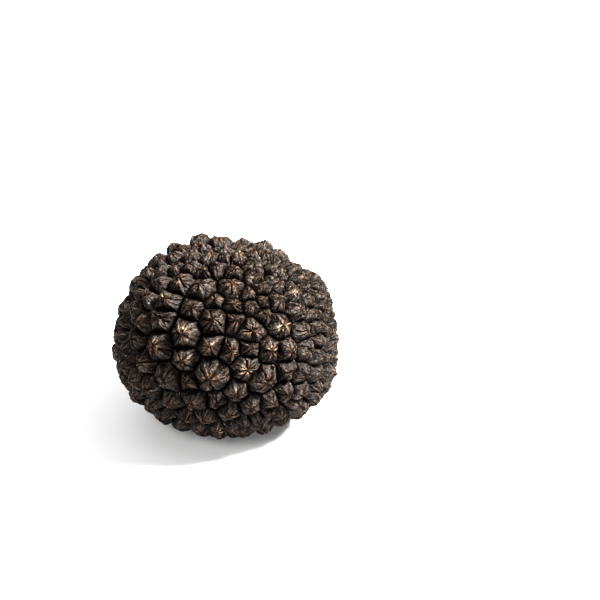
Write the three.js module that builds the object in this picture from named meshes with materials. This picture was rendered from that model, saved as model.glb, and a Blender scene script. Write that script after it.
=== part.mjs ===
// A whole black truffle, in millimetres. +Z is up and the truffle rests on z = 0.
// X runs left to right and -Y is the front, which carries the largest warts.
//
// A truffle grows as one piece, so it is one closed solid: a lumpy body whose whole rind is
// divided into polygonal warts. Each wart is a low pyramid with steep sides, and neighbouring
// warts meet in a narrow valley. Underneath, a few warts are worn flat where it rests.

import * as THREE from "three";
import { ConvexHull } from "three/addons/math/ConvexHull.js";

// ---------------------------------------------------------------- driving dimensions

const HALF_WIDTH = 24.1; // half sizes of the body's plain ellipsoid: X, Y and Z
const HALF_DEPTH = 22.4;
const HALF_HEIGHT = 21.7;

// Swellings (+) and dents (-) on the ellipsoid: azimuth and elevation of the middle and the
// spread, in degrees, and the rise in millimetres. Azimuth 0 is the front and 90 the right.
const SWELLINGS = [
  { name: "lower right cheek", azimuth: 74, elevation: -20, spread: 26, rise: 1.9 },
  { name: "right shoulder", azimuth: 105, elevation: 28, spread: 17, rise: 1.8 },
  { name: "groove before the right shoulder", azimuth: 72, elevation: 59, spread: 8, rise: -1.3 },
  { name: "lower end of that groove", azimuth: 64, elevation: 45, spread: 7, rise: -1.0 },
  { name: "back right lobe", azimuth: 134, elevation: 50, spread: 12, rise: 1.1 },
  { name: "groove beside the back right lobe", azimuth: 116, elevation: 40, spread: 8, rise: -2.5 },
  { name: "crown knob", azimuth: 160, elevation: 60, spread: 7, rise: 0.7 },
  { name: "notch behind the crown", azimuth: 176, elevation: 58, spread: 6, rise: -2.1 },
  { name: "back left lobe", azimuth: -165, elevation: 57, spread: 11, rise: 1.7 },
  { name: "trench before the back lobes", azimuth: 165, elevation: 74, spread: 9, rise: -1.0 },
  { name: "left shoulder", azimuth: -124, elevation: 47, spread: 15, rise: 1.2 },
  { name: "left cheek", azimuth: -70, elevation: -16, spread: 26, rise: 1.0 },
  { name: "brow", azimuth: -8, elevation: 24, spread: 32, rise: 0.8 },
  { name: "back bulge", azimuth: -170, elevation: -4, spread: 30, rise: 1.8 },
  { name: "growth scar", azimuth: 148, elevation: -12, spread: 11, rise: -2.6 },
];

// Wart widths in millimetres: the usual width, and zones where they are finer.
const WART_WIDTH = 5.2;
const FINE_ZONES = [
  { name: "right side", azimuth: 96, elevation: 10, spread: 36, width: 2.7 },
  { name: "underside", azimuth: 40, elevation: -80, spread: 34, width: 3.9 },
  { name: "growth scar", azimuth: 148, elevation: -12, spread: 16, width: 2.9 },
];

// The large warts of the front, whose places give this truffle its face: [across, up] in
// millimetres from the body's middle, seen level with FACE_TILT, in courses from the top down.
// A third number is how much further than its neighbours a wart has spread, in millimetres.
const FACE_TILT = 30; // degrees above the horizon that the face looks
const FACE_WARTS = [
  [[-10.0, 20.4], [-5.8, 21.1], [-1.4, 21.2], [3.0, 20.4], [6.3, 19.0], [9.0, 19.0], [11.6, 18.4]],
  [[-13.8, 17.3], [-11.4, 18.4], [-7.6, 18.3], [-2.9, 18.5], [0.2, 18.2], [3.3, 18.0], [6.6, 16.3]],
  [[-16.8, 14.6], [-14.1, 15.0], [-10.5, 16.0], [-7.8, 16.0], [-4.3, 14.8], [-1.2, 15.6], [2.5, 14.9]],
  [[-18.6, 12.3], [-14.2, 12.2], [-9.4, 12.8, 0.4], [-4.6, 11.3, 0.4], [2.0, 11.7, 0.4], [7.0, 13.8], [8.7, 11.4]],
  [[-19.8, 10.4], [-16.6, 9.4], [-12.3, 8.3, 0.3], [-1.6, 8.5], [5.6, 9.9], [8.9, 8.5], [12.1, 12.2]],
  [[-21.6, 8.2], [-19.7, 6.6], [-6.5, 6.9], [2.3, 7.4], [6.6, 7.3], [12.1, 8.5], [15.9, 10.7]],
  [[-22.6, 3.6], [-18.2, 3.4], [-13.5, 4.6, 0.4], [-1.9, 4.3, 0.5], [2.7, 4.1], [9.4, 5.1], [16.7, 6.2]],
  [[-19.4, 0.2], [-14.3, -1.4, 0.4], [-8.4, 1.3, 0.6], [6.6, 1.8, 0.4], [12.9, 3.1, 0.3], [18.0, 1.8], [19.9, 5.6]],
  [[-23.1, 0.4], [-21.7, -2.6], [-2.4, -1.5], [1.9, -2.6], [6.3, -1.8], [10.6, -2.3], [14.4, -2.6]],
  [[-18.0, -5.0], [-8.4, -4.5, 0.3], [5.6, -6.4, 0.4], [14.3, -7.1], [18.9, -2.4], [21.6, -0.4], [21.4, -4.2]],
  [[-22.2, -6.3], [-12.3, -8.7, 0.5], [-2.6, -8.2, 1.0], [9.5, -9.2, 0.6], [17.5, -8.0], [20.9, -7.6]],
  [[-19.9, -9.2], [-16.7, -10.9], [-6.2, -13.6], [-1.2, -13.9], [3.0, -11.8], [13.8, -11.9]],
  [[-19.2, -12.7], [-16.4, -14.7], [-11.8, -14.0], [6.2, -14.6], [10.9, -13.7], [17.1, -11.9]],
  [[-13.2, -17.3], [-8.0, -17.4], [-4.2, -17.5], [1.4, -16.2], [9.9, -16.8], [12.7, -16.9]],
  [[-10.6, -18.9], [-1.5, -19.8], [1.5, -19.4], [4.6, -18.7], [7.5, -17.9], [16.0, -14.4]],
];

// Wart shape, as shares of a wart's own width. Heights are from the body's surface.
const APEX_RISE = 0.1;
const SHOULDER_REACH = 0.8; // from the apex to the valley
const SHOULDER_DROP = 0.11;
const VALLEY_DROP = 0.31;
const HEIGHT_VARIATION = 0.05;
const APEX_WANDER = 0.1; // how far a filling wart's apex lies off its middle

const SHORTEST_VALLEY = 0.45; // valleys shorter than this close to a point, in millimetres
const WORN_DEPTH = 1.9; // how much of the lowest warts is worn off where it rests
const GROOVE_CLEARANCE = 0.35; // valleys stay this far above the resting plane
const GROWTH_SEED = 20; // picks the arrangement of the filling warts
const FILLING_TRIES = 24000;
const SETTLING_ROUNDS = 4;

// ---------------------------------------------------------------- small tools

const radians = THREE.MathUtils.degToRad;

function direction(azimuth, elevation) {
  const [a, e] = [radians(azimuth), radians(elevation)];
  return new THREE.Vector3(Math.sin(a) * Math.cos(e), -Math.cos(a) * Math.cos(e), Math.sin(e));
}

/** 1 in the middle of a swelling or zone, falling smoothly to 0 over its spread. */
function share(dir, { azimuth, elevation, spread }) {
  const angle = dir.angleTo(direction(azimuth, elevation));
  return Math.exp(-((angle / radians(spread)) ** 2));
}

/** Numbers from 0 to 1 that are the same on every run. */
function repeatableNumbers(seed) {
  let state = seed;
  return () => {
    state = (state + 0x6d2b79f5) | 0;
    let mixed = Math.imul(state ^ (state >>> 15), 1 | state);
    mixed = (mixed + Math.imul(mixed ^ (mixed >>> 7), 61 | mixed)) ^ mixed;
    return ((mixed ^ (mixed >>> 14)) >>> 0) / 2 ** 32;
  };
}

/** Two unit vectors square to dir and to each other. */
function tangents(dir) {
  const helper = Math.abs(dir.z) < 0.9 ? new THREE.Vector3(0, 0, 1) : new THREE.Vector3(1, 0, 0);
  const east = new THREE.Vector3().crossVectors(helper, dir).normalize();
  return [east, new THREE.Vector3().crossVectors(dir, east)];
}

// ---------------------------------------------------------------- the body

/** Distance from the body's middle to its surface, along a unit vector. */
function bodyRadius(dir) {
  const plain = 1 / Math.hypot(dir.x / HALF_WIDTH, dir.y / HALF_DEPTH, dir.z / HALF_HEIGHT);
  return SWELLINGS.reduce((radius, swelling) => radius + swelling.rise * share(dir, swelling), plain);
}

/** How wide the warts are around a direction. */
function wartWidth(dir) {
  return FINE_ZONES.reduce(
    (width, zone) => width + (zone.width - WART_WIDTH) * Math.min(1, 1.35 * share(dir, zone)),
    WART_WIDTH,
  );
}

/** The direction of the surface point that is seen at [across, up] on the face. */
function faceDirection([across, up]) {
  const outward = direction(0, FACE_TILT);
  const upward = direction(180, 90 - FACE_TILT);
  const flat = new THREE.Vector3(across, 0, 0).addScaledVector(upward, up);
  let toward = HALF_DEPTH;
  for (let round = 0; round < 20; round++) {
    const dir = flat.clone().addScaledVector(outward, toward).normalize();
    toward = Math.sqrt(Math.max(0, bodyRadius(dir) ** 2 - across ** 2 - up ** 2));
  }
  return flat.addScaledVector(outward, toward).normalize();
}

// ---------------------------------------------------------------- where the warts are

/** Fills the rind around the placed warts with others, no closer than their widths allow. */
function fillWithWarts(placed, random) {
  const warts = placed.map((mark) => {
    const dir = faceDirection(mark);
    return { dir, placed: true, width: wartWidth(dir), spread: mark[2] ?? 0 };
  });
  for (let attempt = 0; attempt < FILLING_TRIES; attempt++) {
    const height = 2 * random() - 1;
    const turn = 2 * Math.PI * random();
    const reach = Math.sqrt(1 - height ** 2);
    const dir = new THREE.Vector3(Math.cos(turn) * reach, Math.sin(turn) * reach, height);
    const width = wartWidth(dir);
    const radius = bodyRadius(dir);
    const crowded = warts.some(
      (other) => dir.angleTo(other.dir) * radius < 0.41 * (width + other.width),
    );
    if (!crowded) warts.push({ dir, placed: false, width, spread: 0 });
  }
  return warts;
}

/**
 * Each wart's ring of corner numbers, and each corner's direction: where three warts meet.
 * A wart that has spread lies further out, which moves its valleys towards its neighbours.
 */
function divideRind(warts) {
  const sites = warts.map(({ dir, width, spread }) =>
    dir.clone().multiplyScalar(1 + (spread * width) / bodyRadius(dir) ** 2),
  );
  const hull = new ConvexHull().setFromPoints(sites);
  const numberOf = new Map(sites.map((site, number) => [site, number]));
  const corners = [];
  const rings = warts.map(() => []);
  for (const face of hull.faces) {
    const owners = [0, 1, 2].map((step) => numberOf.get(face.getEdge(step).head().point));
    owners.forEach((owner) => rings[owner].push(corners.length));
    corners.push(face.normal.clone().normalize());
  }
  warts.forEach(({ dir }, owner) => {
    const [east, north] = tangents(dir);
    const turn = (corner) => Math.atan2(corners[corner].dot(north), corners[corner].dot(east));
    rings[owner].sort((a, b) => turn(a) - turn(b));
  });
  return { corners, rings };
}

/** Moves each filling wart towards the middle of its own ring, which evens them out. */
function settle(warts) {
  for (let round = 0; round < SETTLING_ROUNDS; round++) {
    const { corners, rings } = divideRind(warts);
    warts.forEach((wart, owner) => {
      if (wart.placed) return;
      const middle = new THREE.Vector3();
      rings[owner].forEach((corner) => middle.add(corners[corner]));
      wart.dir = wart.dir.clone().lerp(middle.normalize(), 0.6).normalize();
    });
  }
}

/** Joins corners that lie almost together, so that no valley is shorter than SHORTEST_VALLEY. */
function joinCloseCorners({ corners, rings }) {
  const joined = corners.map((_, number) => number);
  const places = corners.map((dir) => dir.clone().multiplyScalar(bodyRadius(dir)));
  for (const ring of rings) {
    ring.forEach((corner, step) => {
      const [a, b] = [joined[corner], joined[ring[(step + 1) % ring.length]]];
      if (a === b || places[a].distanceTo(places[b]) >= SHORTEST_VALLEY) return;
      places[a].lerp(places[b], 0.5);
      joined.forEach((target, number) => {
        if (target === b) joined[number] = a;
      });
    });
  }
  return {
    corners: places.map((place) => place.clone().normalize()),
    rings: rings.map((ring) => [...new Set(ring.map((corner) => joined[corner]))]),
  };
}

// ---------------------------------------------------------------- the solid

/** The three heights of every wart as points: one apex, a ring of shoulders, a ring of valley corners. */
function raiseWarts(warts, { corners, rings }, random) {
  const meeting = corners.map(() => []);
  const raised = rings.map((ring, owner) => {
    const { dir, placed } = warts[owner];
    const radius = bodyRadius(dir);
    const width = (2 * radius * ring.reduce((sum, c) => sum + dir.angleTo(corners[c]), 0)) / ring.length;
    ring.forEach((corner) => meeting[corner].push(width));
    const [east, north] = tangents(dir);
    const wander = placed ? 0 : APEX_WANDER * width;
    const apexDir = dir
      .clone()
      .multiplyScalar(radius)
      .addScaledVector(east, wander * (2 * random() - 1))
      .addScaledVector(north, wander * (2 * random() - 1))
      .normalize();
    const lift = HEIGHT_VARIATION * (2 * random() - 1) * width;
    const apex = apexDir.clone().multiplyScalar(bodyRadius(apexDir) + APEX_RISE * width + lift);
    const shoulders = ring.map((corner) => {
      const shoulderDir = apexDir.clone().lerp(corners[corner], SHOULDER_REACH).normalize();
      return shoulderDir.multiplyScalar(bodyRadius(shoulderDir) - SHOULDER_DROP * width + lift);
    });
    return { ring, apex, shoulders };
  });
  const valleys = corners.map((dir, corner) => {
    const widths = meeting[corner];
    if (!widths.length) return null; // joined to another corner
    const mean = widths.reduce((a, b) => a + b, 0) / widths.length;
    return dir.clone().multiplyScalar(bodyRadius(dir) - VALLEY_DROP * mean);
  });
  return { raised, valleys };
}

/** Wears the lowest warts flat, and leaves the grooves between them open. */
function wearFlat({ raised, valleys }) {
  const tops = raised.flatMap((wart) => [wart.apex, ...wart.shoulders]);
  const restLevel = Math.min(...tops.map((point) => point.z)) + WORN_DEPTH;
  for (const point of tops) point.z = Math.max(point.z, restLevel);
  for (const point of valleys) if (point) point.z = Math.max(point.z, restLevel + GROOVE_CLEARANCE);
  return restLevel;
}

/** Whether the fold from a to c across the quad a, b, c, d stands out instead of in. */
function foldsOutward(a, b, c, d) {
  const across = new THREE.Vector3().crossVectors(b.clone().sub(a), c.clone().sub(a));
  return across.dot(d.clone().sub(a)) <= 0;
}

/** Every wart's facets: a pyramid top above the shoulders, and steep sides down to the valley. */
function rindGeometry({ raised, valleys }) {
  const positions = [];
  const facet = (...points) => points.forEach((point) => positions.push(...point.toArray()));
  for (const { ring, apex, shoulders } of raised) {
    ring.forEach((corner, step) => {
      const next = (step + 1) % ring.length;
      const [low, lowNext] = [valleys[corner], valleys[ring[next]]];
      const [high, highNext] = [shoulders[step], shoulders[next]];
      facet(high, highNext, apex);
      if (foldsOutward(low, lowNext, highNext, high)) {
        facet(low, lowNext, highNext);
        facet(low, highNext, high);
      } else {
        facet(low, lowNext, high);
        facet(lowNext, highNext, high);
      }
    });
  }
  const geometry = new THREE.BufferGeometry();
  geometry.setAttribute("position", new THREE.Float32BufferAttribute(positions, 3));
  geometry.computeVertexNormals();
  return geometry;
}

function makeTruffle() {
  const random = repeatableNumbers(GROWTH_SEED);
  const warts = fillWithWarts(FACE_WARTS.flat(), random);
  settle(warts);
  const solid = raiseWarts(warts, joinCloseCorners(divideRind(warts)), random);
  wearFlat(solid);
  const geometry = rindGeometry(solid);
  geometry.computeBoundingBox();
  const { min, max } = geometry.boundingBox;
  geometry.translate(-(min.x + max.x) / 2, -(min.y + max.y) / 2, -min.z);
  const rind = new THREE.MeshStandardMaterial({ color: 0x2b221c, roughness: 0.7, metalness: 0 });
  const mesh = new THREE.Mesh(geometry, rind);
  mesh.name = "truffle";
  return mesh;
}

const truffle = new THREE.Group();
truffle.add(makeTruffle());

export default truffle;
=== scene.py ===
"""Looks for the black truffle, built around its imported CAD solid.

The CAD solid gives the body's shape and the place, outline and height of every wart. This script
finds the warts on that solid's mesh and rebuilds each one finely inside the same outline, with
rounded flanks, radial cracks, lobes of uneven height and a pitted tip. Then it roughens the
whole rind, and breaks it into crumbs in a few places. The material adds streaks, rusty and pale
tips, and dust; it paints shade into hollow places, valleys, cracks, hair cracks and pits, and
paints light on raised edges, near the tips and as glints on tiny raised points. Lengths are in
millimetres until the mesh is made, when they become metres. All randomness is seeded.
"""

import math

import bpy
import numpy as np
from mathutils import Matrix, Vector


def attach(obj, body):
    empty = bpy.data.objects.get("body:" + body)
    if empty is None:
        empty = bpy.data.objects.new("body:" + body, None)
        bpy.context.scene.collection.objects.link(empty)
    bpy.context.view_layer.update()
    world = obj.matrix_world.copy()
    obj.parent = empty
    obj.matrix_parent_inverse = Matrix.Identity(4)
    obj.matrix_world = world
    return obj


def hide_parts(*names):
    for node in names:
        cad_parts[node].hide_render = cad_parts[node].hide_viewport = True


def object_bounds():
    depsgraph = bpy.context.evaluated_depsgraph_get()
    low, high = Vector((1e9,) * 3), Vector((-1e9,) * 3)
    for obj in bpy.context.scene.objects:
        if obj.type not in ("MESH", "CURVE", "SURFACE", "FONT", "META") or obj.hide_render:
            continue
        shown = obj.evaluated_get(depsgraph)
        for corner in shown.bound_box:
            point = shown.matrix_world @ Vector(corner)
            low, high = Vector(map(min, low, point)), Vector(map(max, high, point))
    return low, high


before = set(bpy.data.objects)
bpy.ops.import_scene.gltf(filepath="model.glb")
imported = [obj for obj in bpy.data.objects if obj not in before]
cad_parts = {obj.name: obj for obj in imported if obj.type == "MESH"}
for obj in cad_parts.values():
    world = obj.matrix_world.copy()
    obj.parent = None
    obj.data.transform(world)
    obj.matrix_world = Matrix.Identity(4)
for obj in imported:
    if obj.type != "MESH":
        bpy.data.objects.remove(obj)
CAD_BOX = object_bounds()

# ---------------------------------------------------------------- driving values

MM = 0.001  # one millimetre in metres
NODE = "truffle"
PIECE = "truffle_rind"
SEED = 7
SPACING = 0.2  # distance between neighbouring points of the fine mesh
FLAT_ANGLE = 0.5  # degrees: a fold smaller than this is flat
HALVINGS = 2  # how often a ring of points halves on its way to the tip
CROWDED = 0.62  # a ring halves when its points are closer than this share of SPACING
FEWEST_RINGS = 5  # on the way from tip to valley
SLOPE_SAMPLES = 200  # how finely a slope's length is measured
FACE_TILT = 30  # degrees above level that the face with the largest warts looks

# Places on the face, in millimetres across and up as seen square on, with how pale a tip is there.
PALE_TIPS = [
    (13.4, 3.4, 1.0),
    (6.4, -6.3, 0.85),
    (16.3, 11.0, 1.0),
    (3.7, 19.9, 0.9),
    (-3.0, 21.2, 0.8),
    (12.3, 19.5, 0.8),
    (-1.3, -20.8, 0.9),
    (-14.5, 6.3, 0.8),
    (10.8, -2.5, 0.65),
    (-9.0, 1.4, 0.6),
    (-2.9, -0.8, 0.75),
    (-8.4, -4.1, 0.7),
    (-5.7, -13.5, 0.65),
    (-15.2, -0.8, 0.65),
    (15.6, -3.0, 0.6),
    (4.6, 7.8, 0.6),
    (-2.4, -9.1, 0.6),
]
PALEST_OTHER = 0.6  # the other warts are paler by chance, up to about this
PALE_RARITY = 1.3  # above 1, most of the other warts are dark

# Where the rind is crumbly: degrees round from the front, degrees up, spread in degrees, strength.
CRUMBLY_PLACES = [
    (92, 39, 21, 1.0),  # right shoulder
    (84, -5, 30, 0.35),  # right side
    (-141, 76, 15, 0.9),  # crown
    (125, 59, 16, 0.9),  # behind the right shoulder
    (200, -10, 35, 0.7),  # back
]

# How much a point stands out is measured against its surroundings smoothed by so many rounds, as
# a share of a height in millimetres. The material paints shade and light from these measures.
NEAR_ROUNDS, NEAR_HEIGHT = 3, 0.06
FAR_ROUNDS, FAR_HEIGHT = 24, 0.3

# Colours of the rind, in linear light.
FLANK_DARK = (0.0178, 0.0128, 0.0095, 1)
FLANK_LIGHT = (0.035, 0.029, 0.0242, 1)
STREAK = (0.072, 0.0605, 0.052, 1)
RUST_DARK = (0.05, 0.024, 0.012, 1)
RUST_LIGHT = (0.21, 0.12, 0.062, 1)
PALE_HEART = (0.37, 0.28, 0.185, 1)
# Painted shade for valleys, cracks, hair cracks and pits.
VALLEY_SHADE = (0.009, 0.0053, 0.003, 1)
CRACK_SHADE = (0.01, 0.0056, 0.0032, 1)
HAIR_CRACK_SHADE = (0.009, 0.0052, 0.003, 1)
PIT_SHADE = (0.008, 0.0046, 0.0026, 1)
# Partly pale dust, partly painted glints.
DUST_AND_GLINT = (0.42, 0.38, 0.335, 1)

rng = np.random.default_rng(SEED)


# ---------------------------------------------------------------- small tools


def unit(vectors):
    return vectors / np.linalg.norm(vectors, axis=-1, keepdims=True)


def smooth_step(low, high, value):
    t = np.clip((value - low) / (high - low), 0, 1)
    return t * t * (3 - 2 * t)


def direction(azimuth, elevation):
    """A unit vector. Azimuth 0 is the front, 90 the right."""
    a, e = math.radians(azimuth), math.radians(elevation)
    return np.array([math.sin(a) * math.cos(e), -math.cos(a) * math.cos(e), math.sin(e)])


def square_to(out):
    """Two unit vectors square to out and to each other."""
    helper = [0.13, 0.31, 0.94] if abs(out[2]) < 0.9 else [1.0, 0.2, 0]
    east = unit(np.cross(helper, out))
    return east, np.cross(out, east)


# ---------------------------------------------------------------- noise

TABLE_SIZE = 256  # how many random values a noise holds


def table_number(order, cells):
    """A scrambled table number for each unit cube, from its lowest corner."""
    last = TABLE_SIZE - 1
    x, y, z = (cells & last).T
    return order[(order[(order[x] + y) & last] + z) & last]


class Noise:
    """Smooth gradient noise in three dimensions, from about -1 to 1."""

    GAIN = 1.6
    OCTAVE_RATIO = 2.03
    OCTAVE_SHIFT = 17.3

    def __init__(self, seed):
        table = np.random.default_rng(seed)
        self.order = table.permutation(TABLE_SIZE)
        self.slopes = unit(table.normal(size=(TABLE_SIZE, 3)))

    def __call__(self, points):
        cell = np.floor(points).astype(int)
        inside = points - cell
        ease = inside**3 * (inside * (inside * 6 - 15) + 10)
        total = np.zeros(len(points))
        for corner in np.ndindex(2, 2, 2):
            slope = self.slopes[table_number(self.order, cell + corner)]
            share = np.prod(np.where(np.array(corner) == 1, ease, 1 - ease), axis=1)
            total += share * np.sum((inside - corner) * slope, axis=1)
        return total * self.GAIN

    def layered(self, points, octaves, fall=0.5):
        """Several sizes of noise added up, each finer and weaker than the one before."""
        total = np.zeros(len(points))
        for octave in range(octaves):
            shift = self.OCTAVE_SHIFT * octave
            total += fall**octave * self(points * self.OCTAVE_RATIO**octave + shift)
        return total

    def sideways(self, points):
        """Three unlike noises, as a vector at each point."""
        return np.stack([self(points + shift) for shift in (0.0, 31.4, 77.7)], axis=1)


class Cells:
    """Distances to the two nearest of one scattered point in every unit cube."""

    FAR_AWAY = 9.0

    def __init__(self, seed):
        table = np.random.default_rng(seed)
        self.order = table.permutation(TABLE_SIZE)
        self.spots = table.random((TABLE_SIZE, 3))

    def __call__(self, points):
        cell = np.floor(points).astype(int)
        first = np.full(len(points), self.FAR_AWAY)
        second = first.copy()
        for step in np.ndindex(3, 3, 3):
            beside = cell + np.array(step) - 1
            spots = self.spots[table_number(self.order, beside)]
            distance = np.linalg.norm(points - beside - spots, axis=1)
            second = np.minimum(second, np.maximum(first, distance))
            first = np.minimum(first, distance)
        return first, second


def crumbs(seed, places, size, crevice_width):
    """Distance from the middle of a crumb, and how near the crevice around it is.

    The distance and the crevice's width are shares of a crumb's size.
    """
    first, second = Cells(seed)(places / size)
    return first, 1 - smooth_step(0, crevice_width, second - first)


# ---------------------------------------------------------------- pale and crumbly places


def face_direction(across, up, radius):
    """The direction of a place given across and up on the tilted face."""
    out = math.sqrt(max(radius**2 - across**2 - up**2, 0))
    square_on = direction(0, FACE_TILT)
    upward = direction(0, FACE_TILT + 90)
    return unit(across * np.array([1, 0, 0]) + up * upward + out * square_on)


def tip_paleness(tips):
    """How pale each wart's tip is, from 0 to 1: chosen on the face, and by chance elsewhere."""
    paleness = rng.uniform(0, PALEST_OTHER, len(tips)) ** PALE_RARITY
    radius = np.linalg.norm(tips, axis=1).mean()
    for across, up, strength in PALE_TIPS:
        nearest = np.argmax(unit(tips) @ face_direction(across, up, radius))
        paleness[nearest] = strength
    return paleness


def crumbly(directions):
    """How crumbly the rind is in each direction, from 0 to 1."""
    left = np.ones(len(directions))
    for azimuth, elevation, spread, strength in CRUMBLY_PLACES:
        angle = np.arccos(np.clip(directions @ direction(azimuth, elevation), -1, 1))
        left *= 1 - strength * np.exp(-((angle / math.radians(spread)) ** 2))
    return 1 - left


# ---------------------------------------------------------------- the warts of the CAD solid


def cad_triangles(node):
    """The CAD node's corner points, in millimetres, and its triangles.

    Corners that share a place, to a hundredth of a millimetre, are merged into one.
    """
    mesh = node.data
    points = np.empty(len(mesh.vertices) * 3, np.float32)
    mesh.vertices.foreach_get("co", points)
    points = points.reshape(-1, 3).astype(float) / MM
    mesh.calc_loop_triangles()
    faces = np.empty(len(mesh.loop_triangles) * 3, np.int32)
    mesh.loop_triangles.foreach_get("vertices", faces)
    rounded = np.round(points, 2)
    _, first, merged = np.unique(rounded, axis=0, return_index=True, return_inverse=True)
    return points[first], merged.reshape(-1)[faces].reshape(-1, 3)


def edge_faces(faces):
    """Each undirected edge and the triangles on it."""
    found = {}
    for number, face in enumerate(faces):
        for a, b in zip(face, np.roll(face, -1)):
            found.setdefault((min(a, b), max(a, b)), []).append(number)
    return found


def wart_groups(points, faces):
    """Triangles grouped into warts: valleys are the only folds that go inward."""
    a, b, c = (points[faces[:, corner]] for corner in range(3))
    normals = unit(np.cross(b - a, c - a))
    middles = points[faces].mean(axis=1)
    parent = list(range(len(faces)))

    def root(number):
        while parent[number] != number:
            parent[number] = parent[parent[number]]
            number = parent[number]
        return number

    flat = math.cos(math.radians(FLAT_ANGLE))
    for one, other in edge_faces(faces).values():
        bend = np.dot(normals[one], middles[other] - middles[one])
        if bend <= 0 or np.dot(normals[one], normals[other]) > flat:
            parent[root(one)] = root(other)
    groups = {}
    for number in range(len(faces)):
        groups.setdefault(root(number), []).append(number)
    return [groups[key] for key in sorted(groups)]


def wart_outline(faces):
    """The valley corners around a wart in order, and the number of the point at its tip."""
    following = {}
    directed = {(a, b) for face in faces for a, b in zip(face, np.roll(face, -1))}
    for a, b in directed:
        if (b, a) not in directed:
            following[a] = b
    start = min(following)
    ring = [start]
    while following[ring[-1]] != start:
        ring.append(following[ring[-1]])
    near_valley = {n for a, b in directed for n in (a, b) if a in following or b in following}
    tips = {n for face in faces for n in face} - near_valley
    return ring, tips.pop()


# ---------------------------------------------------------------- one fine wart


class Wart:
    """A wart's own shape: how steep it is, its cracks, lobes, ribs and tip.

    A place on it is a turn around the tip in radians, a reach from the tip in millimetres, and
    s, the share of the way from the tip (0) to the valley (1).
    """

    USUAL_WIDTH = 6.0  # cracks, lobes, ribs and pits are this deep on it, and scale with width
    MANY_CRACKS_WIDTH = 3.6  # wider warts have more cracks
    FINE_WIDTHS = (2.8, 4.6)  # from here to here, warts change from finely rough to plain
    CRACK_REACH = 1.2  # radians to each side that a crack can wander
    LOBE_SLANT_LIMIT = 1.2  # radians off a lobe's middle where its slant stops growing
    RIB_HEIGHT = 0.06
    PIT_SPREAD = 0.13  # of the width

    def __init__(self, width):
        self.width = width
        self.size = width / self.USUAL_WIDTH
        self.roundness = rng.uniform(1.1, 1.8)
        self.steepness = rng.uniform(0.5, 0.75)
        self.shade = rng.random()
        self.fine = 1 - smooth_step(*self.FINE_WIDTHS, width)
        few, many = (4, 8) if width > self.MANY_CRACKS_WIDTH else (2, 5)
        count = int(rng.integers(few, many))
        turns = (np.arange(count) + rng.uniform(-0.3, 0.3, count)) / count + rng.random()
        self.crack_turns = np.sort((turns * 2 * math.pi) % (2 * math.pi))
        self.crack_depths = rng.uniform(0.15, 0.75, count) * self.size
        self.crack_ends = rng.uniform(0.45, 0.98, count)
        self.crack_widths = rng.uniform(0.16, 0.3, count)
        self.lobe_lifts = rng.uniform(-0.2, 0.2, count) * self.size
        self.lobe_tilts = rng.uniform(-0.4, 0.4, count)
        self.rib_count = int(rng.integers(9, 17))
        self.rib_start = rng.uniform(0, 2 * math.pi)
        self.pit = rng.uniform(0.05, 0.4) * self.size

    def rise(self, s):
        """Height from valley (0) to tip (1)."""
        return np.clip(1 - s**self.roundness, 0, 1) ** self.steepness

    def crack(self, turn, reach, s):
        """How deep the cracks are, and how near their middle line is, from 0 to 1."""
        deepest = np.zeros_like(turn)
        nearest = np.zeros_like(turn)
        for number, start in enumerate(self.crack_turns):
            # A crack wanders sideways, but not close to the tip.
            wander = 0.22 * np.sin(reach * 1.9 + 5 * number + self.rib_start)
            away = (turn - start + math.pi) % (2 * math.pi) - math.pi
            distance = np.abs(away * reach - wander * smooth_step(0.3, 1.2, reach))
            shape = np.clip(1 - distance / self.crack_widths[number], 0, 1)
            # It starts beside the tip, and dies out before its own end.
            end = self.crack_ends[number]
            extent = smooth_step(0.02, 0.16, s) * (1 - smooth_step(end - 0.2, end, s))
            extent = extent * (np.abs(away) < self.CRACK_REACH)
            deepest = np.maximum(deepest, self.crack_depths[number] * shape * extent)
            nearest = np.maximum(nearest, shape * extent)
        return deepest, nearest

    def lobe(self, turn, reach, s):
        """Each piece between two cracks has its own height and slant."""
        turn = turn % (2 * math.pi)
        sector = np.searchsorted(self.crack_turns, turn) % len(self.lobe_lifts)
        end = self.crack_turns[sector]
        start = np.roll(self.crack_turns, 1)[sector]
        half = ((end - start) % (2 * math.pi)) / 2
        off_middle = (turn - start) % (2 * math.pi) - half
        off_middle = np.clip(off_middle, -self.LOBE_SLANT_LIMIT, self.LOBE_SLANT_LIMIT)
        slant = self.lobe_tilts[sector] * reach * np.sin(off_middle)
        window = smooth_step(0.05, 0.35, s) * (1 - smooth_step(0.6, 0.97, s))
        return (self.lobe_lifts[sector] + slant) * window

    def ribs(self, turn, s):
        """Fine ridges that run down the flanks."""
        window = smooth_step(0.12, 0.4, s) * (1 - smooth_step(0.75, 1.0, s))
        wave = np.sin(self.rib_count * turn + self.rib_start)
        wave += 0.6 * np.sin((self.rib_count * 2 + 1) * turn + 3 * self.rib_start)
        return self.RIB_HEIGHT * self.size * wave * window

    def relief(self, turn, reach, s):
        """What is added to the plain rise, in millimetres, and how near a crack's line is."""
        cracks, crack_line = self.crack(turn, reach, s)
        height = self.lobe(turn, reach, s) + self.ribs(turn, s) - cracks
        height -= self.pit * np.exp(-((reach / (self.PIT_SPREAD * self.width)) ** 2))
        return height, crack_line


def strip(outer, inner):
    """Triangles between two closed rings of point numbers, where inner has as many or half."""
    after_outer = np.roll(outer, -1)
    after_inner = np.roll(inner, -1)
    if len(outer) == len(inner):
        first = np.stack([outer, after_outer, inner], axis=1)
        second = np.stack([after_outer, after_inner, inner], axis=1)
        return np.concatenate([first, second])
    even, odd = outer[0::2], outer[1::2]
    return np.concatenate(
        [
            np.stack([even, odd, inner], axis=1),
            np.stack([odd, after_inner, inner], axis=1),
            np.stack([odd, np.roll(even, -1), after_inner], axis=1),
        ]
    )


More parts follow.
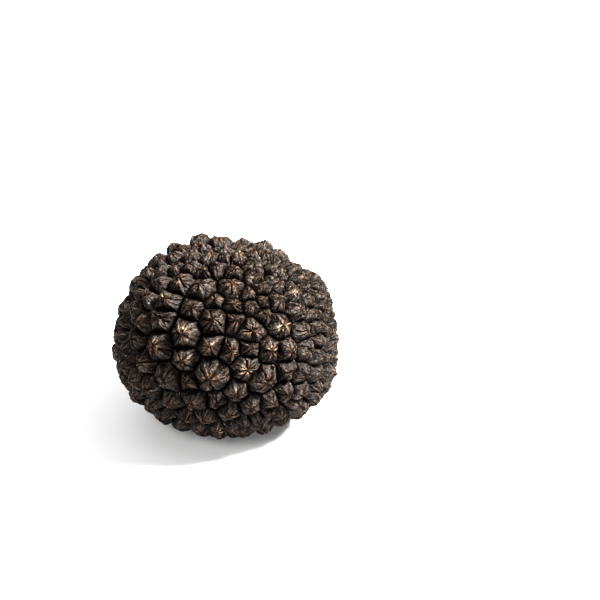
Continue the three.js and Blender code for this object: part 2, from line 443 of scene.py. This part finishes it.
def ring_steps(reach, height, rise):
    """Shares of the way from tip to valley where rings lie, evenly spaced along the slope."""
    fine = np.linspace(0, 1, SLOPE_SAMPLES)
    drop = height * rise(fine)
    lengths = np.hypot(np.diff(fine) * reach, np.diff(drop))
    along = np.concatenate([[0], np.cumsum(lengths)])
    count = max(FEWEST_RINGS, int(round(along[-1] / SPACING)))
    return np.interp(np.linspace(0, along[-1], count + 1)[1:-1], along, fine)[::-1]


def fine_wart(tip, valley):
    """A wart's shape, its new points, its triangles, and values at all of its points.

    Its points are numbered from the valley, which is there already, by rings inward to the tip.
    The values are x and y across the wart, the share of the way from tip to valley, and how near
    a crack's line is.
    """
    out = unit(tip)
    tip_radius = np.linalg.norm(tip)
    east, north = square_to(out)
    flat_x, flat_y = (valley - tip) @ east, (valley - tip) @ north
    reach = np.hypot(flat_x, flat_y)
    turn = np.arctan2(flat_y, flat_x)
    drop = tip_radius - np.linalg.norm(valley, axis=1)
    wart = Wart(2 * reach.mean())

    count = len(valley)
    gap = reach.mean() * 2 * math.pi / count
    stride = 1
    outer = np.arange(count)
    places, triangles = [], []
    values = [np.stack([flat_x, flat_y, np.ones(count), np.zeros(count)], axis=1)]
    for s in ring_steps(reach.mean(), drop.mean(), wart.rise):
        if stride < 2**HALVINGS and gap * s * stride < CROWDED * SPACING:
            stride *= 2
        pick = slice(None, None, stride)
        here = reach[pick] * s
        height = drop[pick] * (wart.rise(s) - 1)
        relief, crack_line = wart.relief(turn[pick], here, s)
        toward = unit(out * (1 - s) + unit(valley[pick]) * s)
        places.append(toward * (tip_radius + height + relief)[:, None])
        share = np.full(len(here), s)
        values.append(np.stack([flat_x[pick] * s, flat_y[pick] * s, share, crack_line], axis=1))
        inner = np.arange(count, count + len(here))
        triangles.append(strip(outer, inner))
        outer = inner
        count += len(here)
    places.append((out * (tip_radius - wart.pit))[None])
    values.append(np.zeros((1, 4)))
    triangles.append(np.stack([outer, np.roll(outer, -1), np.full(len(outer), count)], axis=1))
    return wart, np.concatenate(places), np.concatenate(triangles), np.concatenate(values)


# ---------------------------------------------------------------- the whole rind


def valley_points(points, rings):
    """Points along every valley, shared by the warts beside it, and each wart's loop of them."""
    places = []
    corner_number = {}
    between = {}
    for ring in rings:
        for corner in ring:
            if corner not in corner_number:
                corner_number[corner] = len(places)
                places.append(points[corner])
    step = 2**HALVINGS
    loops = []
    for ring in rings:
        loop = []
        for a, b in zip(ring, ring[1:] + ring[:1]):
            key = (min(a, b), max(a, b))
            if key not in between:
                low, high = points[key[0]], points[key[1]]
                length = np.linalg.norm(high - low)
                count = step * max(1, int(round(length / (SPACING * step))))
                between[key] = list(range(len(places), len(places) + count - 1))
                for part in np.arange(1, count) / count:
                    radius = (1 - part) * np.linalg.norm(low) + part * np.linalg.norm(high)
                    places.append(unit((1 - part) * low + part * high) * radius)
            loop.append(corner_number[a])
            loop.extend(between[key] if a < b else between[key][::-1])
        loops.append(np.array(loop))
    return np.array(places), loops


class Rind:
    """The fine rind: points, triangles, and values at the points and at the triangles' corners.

    At the points, way is the share of the way from tip to valley, fine is how finely rough the
    wart is, and pale is how pale its tip is. The six corner values are x and y across the wart,
    the wart's own shade, way, how near a crack's line is, and the wart's width.
    """

    def __init__(self, points, faces):
        outlines = [wart_outline(faces[group]) for group in wart_groups(points, faces)]
        valleys, loops = valley_points(points, [ring for ring, _ in outlines])
        tips = np.array([points[tip_number] for _, tip_number in outlines])
        count = len(valleys)
        places, triangles, corner_values = [valleys], [], []
        way, fine, pale = [np.ones(count)], [np.zeros(count)], [np.zeros(count)]
        for tip, loop, paleness in zip(tips, loops, tip_paleness(tips)):
            wart, made, local, values = fine_wart(tip, valleys[loop])
            numbers = np.concatenate([loop, np.arange(count, count + len(made))])
            count += len(made)
            places.append(made)
            triangles.append(numbers[local])
            x, y, share, crack_line = values.T
            shade = np.full(len(values), wart.shade)
            width = np.full(len(values), wart.width)
            table = np.stack([x, y, shade, share, crack_line, width], axis=1)
            corner_values.append(table[local].reshape(-1, table.shape[1]))
            way.append(share[len(loop):])
            fine[0][loop] = wart.fine
            fine.append(np.full(len(made), wart.fine))
            pale.append(np.full(len(made), paleness))
        self.places = np.concatenate(places)
        self.triangles = np.concatenate(triangles)
        self.corner_values = np.concatenate(corner_values)
        self.way = np.concatenate(way)
        self.fine = np.concatenate(fine)
        self.pale = np.concatenate(pale)
        self.directions = unit(self.places)

    def roughen(self):
        """Wavy valleys, uneven facets and a crumbly surface.

        Each noise or crumb has its own size: places are divided by it, in millimetres.
        """
        places, out, fine = self.places, self.directions, self.fine
        wide, small, grain = Noise(SEED + 1), Noise(SEED + 2), Noise(SEED + 3)

        # Valleys and edges wander along the surface.
        closer = small.sideways(places / 0.9)
        shift = 0.3 * wide.sideways(places / 2.4) + 0.09 * closer
        shift -= out * np.sum(shift * out, axis=1)[:, None]

        # Waves, finer waves, creases and chips, which are weaker in the valleys.
        off_valley = 1 - 0.6 * smooth_step(0.85, 1.0, self.way)
        lift = 0.08 * wide.layered(places / 1.7 + 5.1, 2)
        lift += (0.03 + 0.08 * fine) * small.layered(places / 0.8, 2) * off_valley
        lift -= (0.07 + 0.1 * fine) * np.abs(grain.layered(places / 0.5, 2)) * off_valley
        chips = smooth_step(0.4, 0.55, small(places / 1.1 + 9.7))
        lift -= 0.1 * chips * off_valley

        # Crumbs of crooked outline in the crumbly places, and finer ones everywhere.
        bent = places + 0.25 * closer
        crumb = crumbly(out)
        middle, crevice = crumbs(SEED + 4, bent, 1.5, 0.3)
        lift += crumb * (0.8 * (0.45 - middle) - 0.6 * crevice)
        trench = (0.04 + 0.3 * fine) * smooth_step(0.7, 1.0, self.way)
        lift -= trench
        middle, crevice = crumbs(SEED + 5, bent, 0.6, 0.35)
        lift += (0.05 + 0.13 * crumb) * ((0.5 - middle) - 0.5 * crevice) * off_valley
        self.places = places + shift + out * lift[:, None]

    def smoothed(self, rounds):
        """The points after each moves to the middle of its neighbours, several times."""
        start = self.triangles.ravel()
        end = np.roll(self.triangles, -1, axis=1).ravel()
        total = len(self.places)
        count = np.bincount(start, minlength=total)
        places = self.places
        for _ in range(rounds):
            sums = [np.bincount(start, places[end, axis], total) for axis in range(3)]
            places = np.stack(sums, axis=1) / count[:, None]
        return places

    def normals(self):
        """The direction square to the surface at each point."""
        a, b, c = (self.places[self.triangles[:, corner]] for corner in range(3))
        across = np.cross(b - a, c - a)
        total = len(self.places)
        sums = np.zeros((total, 3))
        for axis in range(3):
            for corner in range(3):
                numbers = self.triangles[:, corner]
                sums[:, axis] += np.bincount(numbers, across[:, axis], total)
        return unit(sums)

    def standing_out(self, rounds, height):
        """How far each point stands out from (+) or lies below (-) what is around it."""
        away = self.places - self.smoothed(rounds)
        return np.clip(np.sum(away * self.normals(), axis=1) / height, -1, 1)

    def relief(self):
        """How each point stands out close by and further off, with its wart's paleness."""
        near = self.standing_out(NEAR_ROUNDS, NEAR_HEIGHT)
        far = self.standing_out(FAR_ROUNDS, FAR_HEIGHT)
        return np.stack([near, far, self.pale], axis=1)


def make_mesh(name, places, triangles):
    """A smooth mesh from points in millimetres."""
    mesh = bpy.data.meshes.new(name)
    mesh.vertices.add(len(places))
    mesh.vertices.foreach_set("co", (places * MM).astype(np.float32).ravel())
    mesh.loops.add(len(triangles) * 3)
    mesh.loops.foreach_set("vertex_index", triangles.astype(np.int32).ravel())
    mesh.polygons.add(len(triangles))
    mesh.polygons.foreach_set("loop_start", np.arange(0, len(triangles) * 3, 3, dtype=np.int32))
    mesh.polygons.foreach_set("use_smooth", np.ones(len(triangles), bool))
    mesh.update(calc_edges=True)
    mesh.validate()
    return mesh


def store(mesh, name, domain, vectors):
    """Keeps three values at each point or triangle corner, for the material."""
    attribute = mesh.attributes.new(name, "FLOAT_VECTOR", domain)
    attribute.data.foreach_set("vector", vectors.astype(np.float32).ravel())


def map_rind(mesh, triangles, directions):
    """A UV map from six square charts, one for each side of a cube around the body."""
    margin = 0.04  # share of a chart left empty around its edge
    corners = directions[triangles]
    middles = corners.mean(axis=1)
    axis = np.argmax(np.abs(middles), axis=1)
    side = (np.take_along_axis(middles, axis[:, None], axis=1)[:, 0] > 0).astype(int)
    chart = axis * 2 + side
    uv = np.empty((len(triangles), 3, 2))
    for number in range(6):
        chosen = chart == number
        a = number // 2
        b, c = (a + 1) % 3, (a + 2) % 3
        part = corners[chosen]
        depth = np.abs(part[:, :, a])
        across = np.arctan2(part[:, :, b], depth) / (math.pi / 4)
        up = np.arctan2(part[:, :, c], depth) / (math.pi / 4)
        column, row = number % 3, number // 3
        uv[chosen, :, 0] = (column + 0.5 + 0.5 * (1 - margin) * across) / 3
        uv[chosen, :, 1] = (row + 0.5 + 0.5 * (1 - margin) * up) / 2
    layer = mesh.uv_layers.new(name="OFBake")
    layer.data.foreach_set("uv", uv.astype(np.float32).ravel())


# ---------------------------------------------------------------- the rind's material


class Nodes:
    """Short names for making and joining a material's shader nodes."""

    def __init__(self, name):
        self.material = bpy.data.materials.new(name)
        self.material.use_nodes = True
        self.tree = self.material.node_tree
        self.tree.nodes.clear()

    def add(self, kind, inputs=None, **settings):
        node = self.tree.nodes.new(kind)
        for key, value in settings.items():
            setattr(node, key, value)
        for key, value in (inputs or {}).items():
            self.feed(node.inputs[key], value)
        return node

    def feed(self, socket, value):
        if isinstance(value, bpy.types.NodeSocket):
            self.tree.links.new(value, socket)
        else:
            socket.default_value = value

    def math(self, operation, a, b=0.0, c=0.0):
        return self.add("ShaderNodeMath", {0: a, 1: b, 2: c}, operation=operation).outputs[0]

    def times(self, a, b):
        return self.math("MULTIPLY", a, b)

    def times_plus(self, a, b, c):
        return self.math("MULTIPLY_ADD", a, b, c)

    def range(self, value, low, high, to_low=0.0, to_high=1.0):
        """to_low where value is low, to_high where it is high, and a smooth change between."""
        ends = {"From Min": low, "From Max": high, "To Min": to_low, "To Max": to_high}
        kind = "ShaderNodeMapRange"
        return self.add(kind, {"Value": value, **ends}, interpolation_type="SMOOTHSTEP").outputs[0]

    def mix(self, share, a, b):
        """Colour a where share is 0, and colour b where it is 1. Sockets 6 and 7 are colours."""
        return self.add("ShaderNodeMix", {0: share, 6: a, 7: b}, data_type="RGBA").outputs[2]

    def noise(self, where, scale, detail=2.0, roughness=0.5):
        inputs = {"Vector": where, "Scale": scale, "Detail": detail, "Roughness": roughness}
        return self.add("ShaderNodeTexNoise", inputs).outputs["Fac"]

    def object_place(self):
        return self.add("ShaderNodeTexCoord").outputs["Object"]

    def stored(self, name):
        """The three values that the mesh keeps under a name."""
        vector = self.add("ShaderNodeAttribute", attribute_name=name).outputs["Vector"]
        return self.add("ShaderNodeSeparateXYZ", {0: vector}).outputs

    def finish(self, **inputs):
        """A Principled shader as the material's surface. Underscores stand for spaces."""
        named = {key.replace("_", " "): value for key, value in inputs.items()}
        shader = self.add("ShaderNodeBsdfPrincipled", named)
        self.add("ShaderNodeOutputMaterial", {"Surface": shader.outputs[0]})
        return self.material


class RindPattern:
    """What the rind's colour and bumps are made from.

    Each noise is given as its scale, in features per metre, its detail and its roughness.
    """

    def __init__(self, n):
        self.n = n
        x, y, shade = n.stored("wart_place")
        self.way, self.crack, self.width = n.stored("wart_shape")
        self.near, self.far, self.paleness = n.stored("relief")
        where = n.object_place()
        self.blotches = n.noise(where, 420.0, 4.0, 0.6)
        self.grain = n.noise(where, 2600.0, 3.0, 0.6)
        self.patches = n.noise(where, 110.0, 2.0, 0.5)
        self.speckle = n.noise(where, 2700.0, 3.0, 0.75)
        self.flecks = n.noise(where, 1700.0, 3.0, 0.7)
        self.dust = n.noise(where, 2400.0, 4.0, 0.8)
        self.polish = n.noise(where, 900.0, 3.0, 0.6)

        # Streaks run from each tip to its valleys: noise that changes mostly with the turn.
        turn = n.math("ARCTAN2", y, x)
        offset = n.times_plus(self.way, 0.35, n.times(shade, 40.0))
        cosine, sine = n.math("COSINE", turn), n.math("SINE", turn)
        around = n.add("ShaderNodeCombineXYZ", {0: cosine, 1: sine, 2: offset}).outputs[0]
        self.streaks = n.noise(around, 8.0, 3.0, 0.65)

        # Hair cracks run outward from the tip too, and are too thin for the mesh.
        splits = {"Vector": around, "Scale": 1.5}
        split = n.add("ShaderNodeTexVoronoi", splits, feature="DISTANCE_TO_EDGE")
        reach = n.times(self.way, self.width)
        hair = n.range(n.times(split.outputs["Distance"], reach), 0.06, 0.22, 1.0, 0.0)
        self.hair = n.times(hair, n.range(self.way, 0.75, 0.95, 1.0, 0.0))

    def flank(self):
        """Streaky brown-black, with painted shade in hollow places and towards the valley, and
        painted light on raised edges and near the tip.
        """
        n = self.n
        colour = n.mix(n.range(self.blotches, 0.35, 0.68), FLANK_DARK, FLANK_LIGHT)
        colour = n.mix(n.times(n.range(self.streaks, 0.45, 0.75), 0.28), colour, STREAK)
        # Painted shade where a point lies below its surroundings, painted light where it stands
        # out.
        painted_hollow_shade_and_edge_light = n.times(
            n.range(self.near, -0.6, 0.7, 0.5, 1.6),
            n.range(self.far, -0.8, 0.6, 0.03, 1.2),
        )
        speckle_and_painted_shade = n.times(n.range(self.speckle, 0.38, 0.62, 0.33, 1.82), painted_hollow_shade_and_edge_light)
        # Painted light near the tip, fading to painted shade towards the valley.
        speckle_and_painted_shade = n.times(speckle_and_painted_shade, n.range(self.way, 0.2, 1.0, 1.35, 0.5))
        return n.add("ShaderNodeVectorMath", {0: colour, 3: speckle_and_painted_shade}, operation="SCALE").outputs[0]

    def tip(self, colour):
        """The tip is broken and rusty, with a pale heart on some warts."""
        n = self.n
        ragged = n.times_plus(self.streaks, 1.9, n.times(self.blotches, 0.9))
        tip = n.range(n.math("SUBTRACT", ragged, n.times(self.way, 3.2)), -0.1, 0.75)
        strength = n.math("ADD", self.paleness, n.times(self.patches, 0.5))
        strength = n.range(strength, 0.1, 0.75, 0.15, 0.95)
        rust = n.mix(n.range(self.grain, 0.35, 0.7), RUST_DARK, RUST_LIGHT)
        colour = n.mix(n.times(tip, strength), colour, rust)
        heart = n.times_plus(self.blotches, 3.2, n.times(self.way, -2.4))
        flecks = n.times_plus(self.paleness, 0.5, self.flecks)
        pale = n.times(n.range(heart, 0.75, 1.25), n.range(flecks, 0.76, 1.0, 0.0, 0.9))
        return n.mix(pale, colour, PALE_HEART)

    def painted_crevice_shade(self, colour):
        """Painted shade: valleys, cracks, hair cracks and pits are painted nearly black."""
        n = self.n
        to_valley = n.times(n.math("SUBTRACT", 1.0, self.way), self.width)
        # Painted shade near the valleys.
        colour = n.mix(n.range(to_valley, 0.0, 0.95, 0.92, 0.0), colour, VALLEY_SHADE)
        # Painted shade in the cracks.
        colour = n.mix(n.range(self.crack, 0.25, 0.8, 0.0, 0.85), colour, CRACK_SHADE)
        # Painted shade in the hair cracks.
        colour = n.mix(n.times(self.hair, 0.92), colour, HAIR_CRACK_SHADE)
        # Painted shade where a point lies well below its surroundings.
        return n.mix(n.range(self.near, -0.35, -0.95, 0.0, 0.7), colour, PIT_SHADE)

    def dusted_and_glinting(self, colour):
        """Pale dust, and painted glints on tiny broken edges: only where a point stands out, never
        in pits.
        """
        n = self.n
        dust = n.range(self.dust, 0.59, 0.69, 0.0, 0.75)
        # The mask keeps the pale specks on raised points: partly dust, partly painted glints.
        return n.mix(n.times(dust, n.range(self.near, -0.3, 0.3)), colour, DUST_AND_GLINT)

    def normal(self):
        """Bumps too small for the mesh: grain, streaks, blotches and hair cracks."""
        n = self.n
        grain = {"Strength": 0.9, "Distance": 0.22 * MM, "Height": self.grain}
        fine_bump = n.add("ShaderNodeBump", grain).outputs[0]
        ridge = n.times_plus(self.streaks, 0.35, n.times(self.blotches, 0.4))
        ridge = n.times_plus(self.hair, -0.35, ridge)
        ridges = {"Strength": 0.9, "Distance": 0.6 * MM, "Height": ridge, "Normal": fine_bump}
        return n.add("ShaderNodeBump", ridges).outputs[0]


def rind_material():
    n = Nodes(PIECE)
    pattern = RindPattern(n)
    colour = pattern.dusted_and_glinting(pattern.painted_crevice_shade(pattern.tip(pattern.flank())))
    return n.finish(
        Base_Color=colour,
        Roughness=n.range(pattern.polish, 0.3, 0.7, 0.3, 0.56),
        Specular_IOR_Level=0.2,
        Normal=pattern.normal(),
    )


# ---------------------------------------------------------------- the truffle


def make_truffle():
    points, faces = cad_triangles(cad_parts[NODE])
    middle = (points.min(axis=0) + points.max(axis=0)) / 2
    rind = Rind(points - middle, faces)
    rind.roughen()
    rind.places += middle
    rind.places[:, 2] = np.maximum(rind.places[:, 2], CAD_BOX[0][2] / MM)
    mesh = make_mesh(PIECE, rind.places, rind.triangles)
    store(mesh, "wart_place", "CORNER", rind.corner_values[:, 0:3])
    store(mesh, "wart_shape", "CORNER", rind.corner_values[:, 3:6])
    store(mesh, "relief", "POINT", rind.relief())
    map_rind(mesh, rind.triangles, rind.directions)
    mesh.materials.append(rind_material())
    piece = bpy.data.objects.new(PIECE, mesh)
    bpy.context.scene.collection.objects.link(piece)
    return piece


truffle = make_truffle()
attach(truffle, "root")
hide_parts(NODE)


# ---------------------------------------------------------------- floor, light and camera

low, high = [np.array(corner) for corner in CAD_BOX]
centre = (low + high) / 2
truffle_width = high[0] - low[0]
WHITE = (1, 1, 1, 1)


def floor():
    """A wide, matt, white floor that the truffle rests on."""
    mesh = bpy.data.meshes.new("floor")
    half = 60 * truffle_width
    level = float(low[2])
    corners = [(x * half, y * half, level) for x, y in ((-1, -1), (1, -1), (1, 1), (-1, 1))]
    mesh.from_pydata(corners, [], [(0, 1, 2, 3)])
    n = Nodes("floor")
    shade = n.range(n.noise(n.object_place(), 3.0, 3.0, 0.55), 0, 1, 0.5, 0.52)
    material = n.finish(
        Base_Color=n.add("ShaderNodeCombineColor", {0: shade, 1: shade, 2: shade}).outputs[0],
        Roughness=0.9,
        Specular_IOR_Level=0.0,
        Emission_Color=WHITE,
        Emission_Strength=0.1,
    )
    mesh.materials.append(material)
    obj = bpy.data.objects.new("floor", mesh)
    bpy.context.scene.collection.objects.link(obj)


def place_looking(obj, target, toward, distance):
    """Puts a lamp or camera at a distance from its target, looking at it."""
    bpy.context.scene.collection.objects.link(obj)
    obj.location = target + toward * distance
    obj.rotation_euler = (-toward).to_track_quat("-Z", "Y").to_euler()


def lamp(name, azimuth, elevation, distance, diameter, watts):
    """A round soft lamp. Azimuth 0 is the camera's side, and 90 is the right."""
    data = bpy.data.lights.new(name, "AREA")
    data.shape = "DISK"
    data.size = diameter
    data.energy = watts
    toward = Vector(direction(azimuth, elevation))
    place_looking(bpy.data.objects.new(name, data), Vector(centre), toward, distance)


def sky(strength):
    """An even white sky."""
    world = bpy.data.worlds.new("sky")
    bpy.context.scene.world = world
    world.use_nodes = True
    background = world.node_tree.nodes["Background"]
    background.inputs["Color"].default_value = WHITE
    background.inputs["Strength"].default_value = strength


def camera(elevation, distance, right, above, lens):
    """Looks from the front, and aims right of and above the middle.

    The distance and both offsets are in widths of the truffle, and the lens is in millimetres.
    """
    toward = Vector(direction(0, elevation))
    up = Vector(direction(0, elevation + 90))
    aside = Vector((1, 0, 0)) * right * truffle_width
    aim = Vector(centre) + aside + up * above * truffle_width
    data = bpy.data.cameras.new("camera")
    data.lens = lens
    data.sensor_width = 36
    data.clip_start = 0.01
    data.clip_end = 50
    obj = bpy.data.objects.new("camera", data)
    place_looking(obj, aim, toward, distance * truffle_width)
    bpy.context.scene.camera = obj


floor()
sky(strength=0.24)
lamp("dome", azimuth=150, elevation=72, distance=1.0, diameter=2.0, watts=7.0)
lamp("key", azimuth=88, elevation=50, distance=0.9, diameter=0.24, watts=26.0)
lamp("front", azimuth=-28, elevation=42, distance=1.0, diameter=0.4, watts=4.0)
camera(elevation=30, distance=9.5, right=0.323, above=0.146, lens=131)
bpy.context.scene.view_settings.view_transform = "Standard"
bpy.context.scene.view_settings.look = "Very High Contrast"
bpy.context.scene.view_settings.exposure = 0.36
